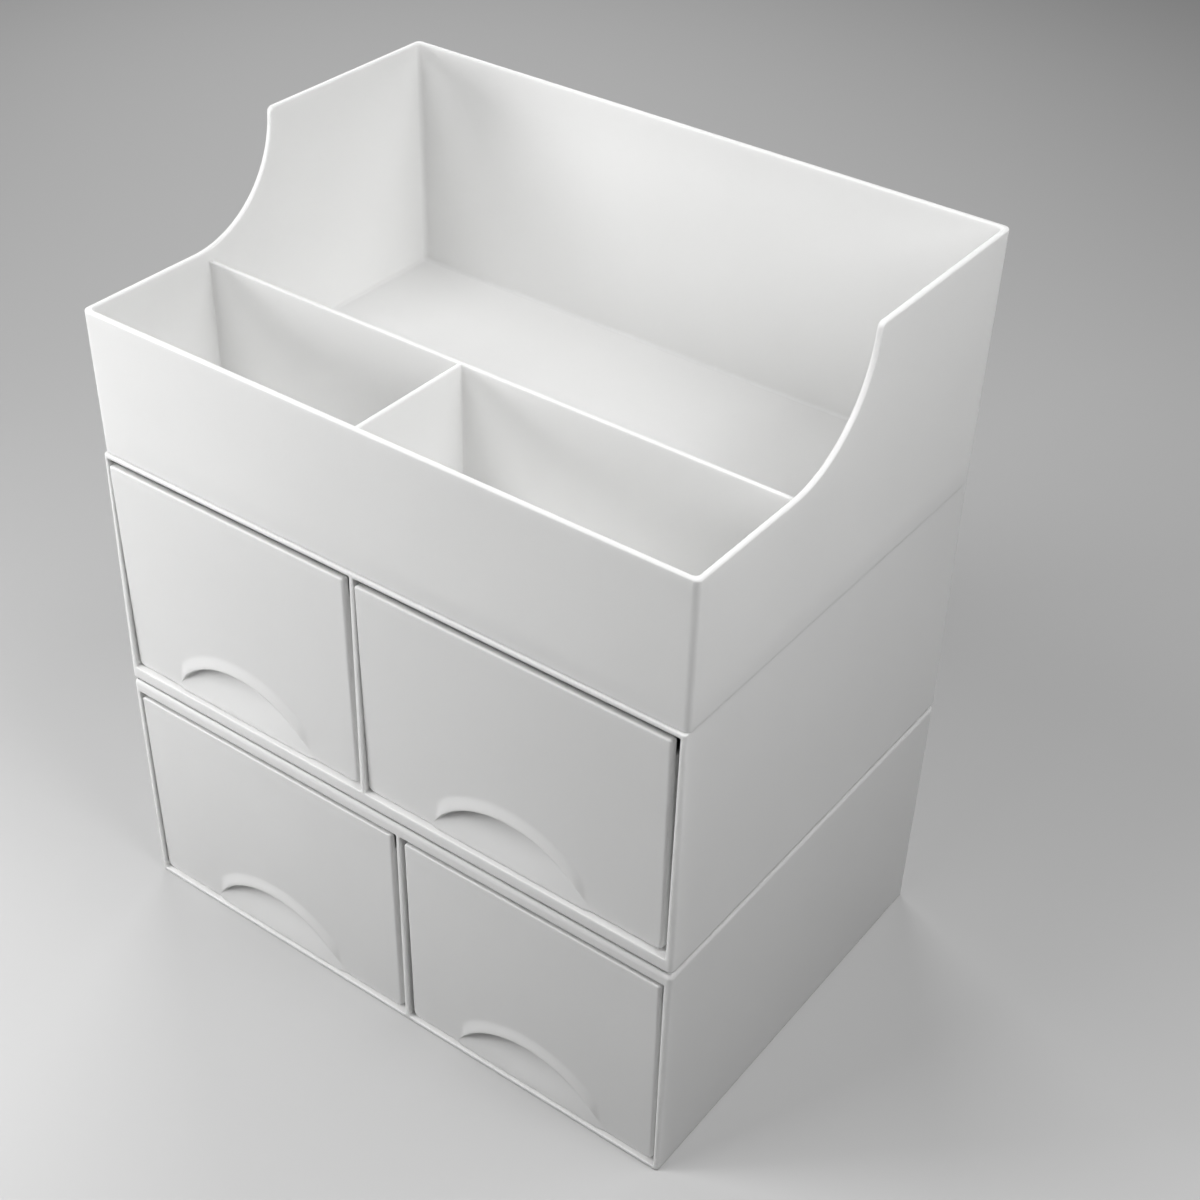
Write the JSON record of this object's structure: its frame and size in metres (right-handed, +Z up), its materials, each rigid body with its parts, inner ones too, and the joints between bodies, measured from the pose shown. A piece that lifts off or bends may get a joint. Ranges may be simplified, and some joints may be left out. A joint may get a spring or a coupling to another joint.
{
  "type": "stacking desktop drawer unit",
  "caption": "White stacking desktop drawer unit: open-fronted cabinets with pull-out drawers under a scooped, divided top caddy.",
  "frame": {"origin": "centre of the footprint, on the table", "axes": "+X to the right along the front, +Y to the back, +Z up; the drawer fronts face -Y"},
  "size_m": [0.2612, 0.1836, 0.313],
  "materials": {
    "white_plastic": "satin injection-moulded"
  },
  "bodies": {
    "lower_cabinet": {"lower_cabinet": "white_plastic"},
    "upper_cabinet": {"upper_cabinet": "white_plastic"},
    "top_caddy": {"top_caddy": "white_plastic"},
    "drawer_lower_left": {"drawer_lower_left": "white_plastic"},
    "drawer_lower_right": {"drawer_lower_right": "white_plastic"},
    "drawer_upper_left": {"drawer_upper_left": "white_plastic"},
    "drawer_upper_right": {"drawer_upper_right": "white_plastic"}
  },
  "joints": [
    {"name": "upper_cabinet_lift", "type": "slide", "parent": "lower_cabinet", "child": "upper_cabinet", "axis": [0, 0, 1], "range_m": [0, 0.12]},
    {"name": "top_caddy_lift", "type": "slide", "parent": "upper_cabinet", "child": "top_caddy", "axis": [0, 0, 1], "range_m": [0, 0.12]},
    {"name": "lower_left_drawer_slide", "type": "slide", "parent": "lower_cabinet", "child": "drawer_lower_left", "axis": [0, -1, 0], "range_m": [0, 0.15]},
    {"name": "lower_right_drawer_slide", "type": "slide", "parent": "lower_cabinet", "child": "drawer_lower_right", "axis": [0, -1, 0], "range_m": [0, 0.15]},
    {"name": "upper_left_drawer_slide", "type": "slide", "parent": "upper_cabinet", "child": "drawer_upper_left", "axis": [0, -1, 0], "range_m": [0, 0.15]},
    {"name": "upper_right_drawer_slide", "type": "slide", "parent": "upper_cabinet", "child": "drawer_upper_right", "axis": [0, -1, 0], "range_m": [0, 0.15]}
  ]
}
